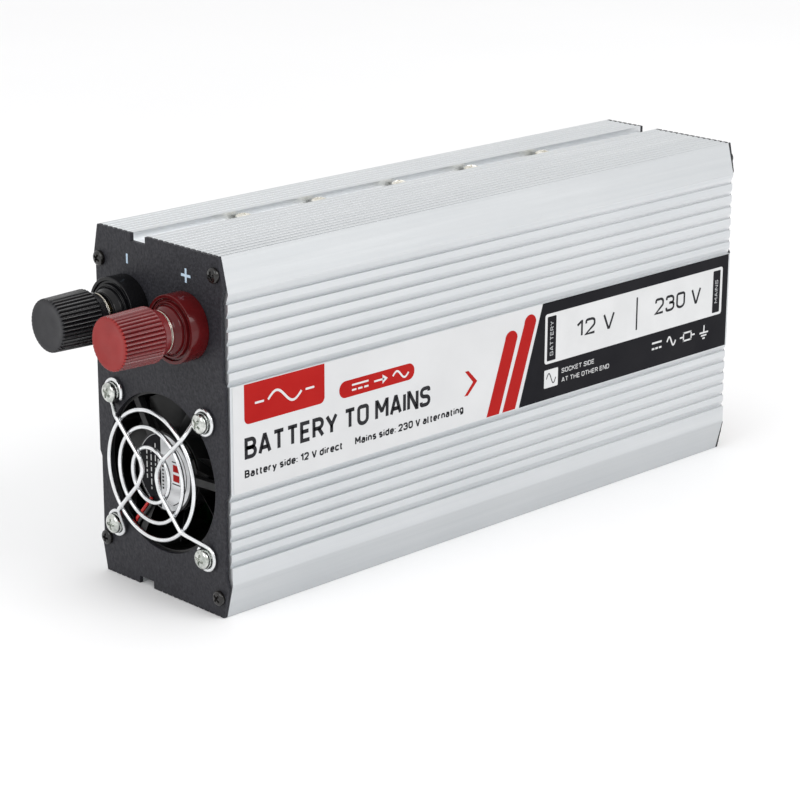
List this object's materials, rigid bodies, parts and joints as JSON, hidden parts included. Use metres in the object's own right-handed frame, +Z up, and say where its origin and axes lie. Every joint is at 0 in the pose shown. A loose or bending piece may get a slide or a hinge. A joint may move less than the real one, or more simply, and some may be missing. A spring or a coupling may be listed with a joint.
{
  "type": "power inverter",
  "caption": "Portable DC to AC power inverter: ribbed aluminium case, two clamp terminals and a guarded cooling fan at one end, a mains outlet and rocker switch at the other.",
  "frame": {"origin": "centre of the case's footprint as it stands on its narrow side: middle of the length, middle of the width, on the ground", "axes": "+X along the case to the outlet end, -X is the battery terminal and fan end, -Y is the labelled side, +Z is up"},
  "size_m": [0.3187, 0.0729, 0.131],
  "materials": {
    "anodised_case": "satin clear-anodised extrusion",
    "plate_paint": "fine textured black powder coat",
    "black_screw": "black zinc",
    "bright_zinc": "bright zinc plate",
    "label": "satin printed overlay",
    "red_plastic": "moulded, semi-gloss",
    "black_plastic": "moulded, semi-gloss",
    "fan_plastic": "moulded glass-filled plastic",
    "stud_brass": "plated brass",
    "chrome_wire": "bright chrome plate",
    "foil": "satin foil sticker",
    "copper": "enamelled copper",
    "red_wire": "cable insulation",
    "black_wire": "cable insulation",
    "mixed_wire": "cable insulation in several colours",
    "circuit_board": "solder-masked laminate",
    "bar_aluminium": "mill finish",
    "silicone_pad": "soft pad",
    "epoxy": "moulded epoxy",
    "ferrite": "sintered ferrite",
    "winding_tape": "yellow film tape",
    "capacitor_sleeve": "heat-shrunk sleeve",
    "core_powder": "painted iron powder",
    "fuse_plastic": "clear tinted plastic",
    "outlet_plastic": "white moulded",
    "contact_brass": "plain brass",
    "rocker_red": "moulded",
    "lamp": "tinted lens"
  },
  "bodies": {
    "case": {"front_shell": "anodised_case", "back_shell": "anodised_case", "dc_end_plate": "plate_paint", "ac_end_plate": "plate_paint", "dc_plate_screws": "black_screw", "ac_plate_screws": "black_screw", "top_case_screws": "bright_zinc", "bottom_case_screws": "bright_zinc", "label_panel": "label", "red_collar": "red_plastic", "red_stud": "stud_brass", "red_stud_nut": "stud_brass", "black_collar": "black_plastic", "black_stud": "stud_brass", "black_stud_nut": "stud_brass", "fan_frame": "fan_plastic", "fan_stator": "copper", "fan_sticker": "foil", "fan_guard": "chrome_wire", "fan_screws": "bright_zinc", "fan_nuts": "bright_zinc", "fan_lead": "red_wire", "main_board": "circuit_board", "heat_bar_top": "bar_aluminium", "heat_bar_bottom": "bar_aluminium", "thermal_pads": "silicone_pad", "transistors_top": "epoxy", "transistors_bottom": "epoxy", "transformer_cores": "ferrite", "transformer_windings": "winding_tape", "input_capacitors": "capacitor_sleeve", "output_capacitors": "capacitor_sleeve", "filter_core": "core_powder", "filter_winding": "copper", "control_board": "circuit_board", "blade_fuses": "fuse_plastic", "red_dc_cable": "red_wire", "black_dc_cable": "black_wire", "ac_wires": "mixed_wire", "outlet_body": "outlet_plastic", "outlet_contacts": "contact_brass", "switch_body": "black_plastic", "status_lamps": "lamp", "earth_stud": "stud_brass", "earth_nut": "stud_brass"},
    "fan_rotor": {"fan_rotor": "fan_plastic"},
    "red_clamp": {"red_clamp_ring": "chrome_wire"},
    "red_knob": {"red_knob": "red_plastic"},
    "black_clamp": {"black_clamp_ring": "chrome_wire"},
    "black_knob": {"black_knob": "black_plastic"},
    "rocker": {"rocker": "rocker_red"}
  },
  "joints": [
    {"name": "fan_spin", "type": "hinge", "parent": "case", "child": "fan_rotor", "pos_m": [-0.12525, 0.0001, 0.0458], "axis": [1, 0, 0], "continuous": true},
    {"name": "red_clamp_slide", "type": "slide", "parent": "case", "child": "red_clamp", "axis": [-1, 0, 0], "range_m": [0, 0.0042]},
    {"name": "red_knob_turn", "type": "hinge", "parent": "red_clamp", "child": "red_knob", "pos_m": [-0.15725, -0.0157, 0.1036], "axis": [-1, 0, 0], "range_deg": [0, 1080]},
    {"name": "black_clamp_slide", "type": "slide", "parent": "case", "child": "black_clamp", "axis": [-1, 0, 0], "range_m": [-0.0013, 0.0028]},
    {"name": "black_knob_turn", "type": "hinge", "parent": "black_clamp", "child": "black_knob", "pos_m": [-0.15725, 0.0166, 0.1036], "axis": [-1, 0, 0], "range_deg": [-360, 720]},
    {"name": "rocker_tilt", "type": "hinge", "parent": "case", "child": "rocker", "pos_m": [0.13785, 0, 0.034], "axis": [0, 1, 0], "range_deg": [-18, 0]}
  ],
  "couplings": [
    {"joint": "red_clamp_slide", "follows": "red_knob_turn", "m_per_rad": 0.00019894},
    {"joint": "black_clamp_slide", "follows": "black_knob_turn", "m_per_rad": 0.00019894}
  ]
}
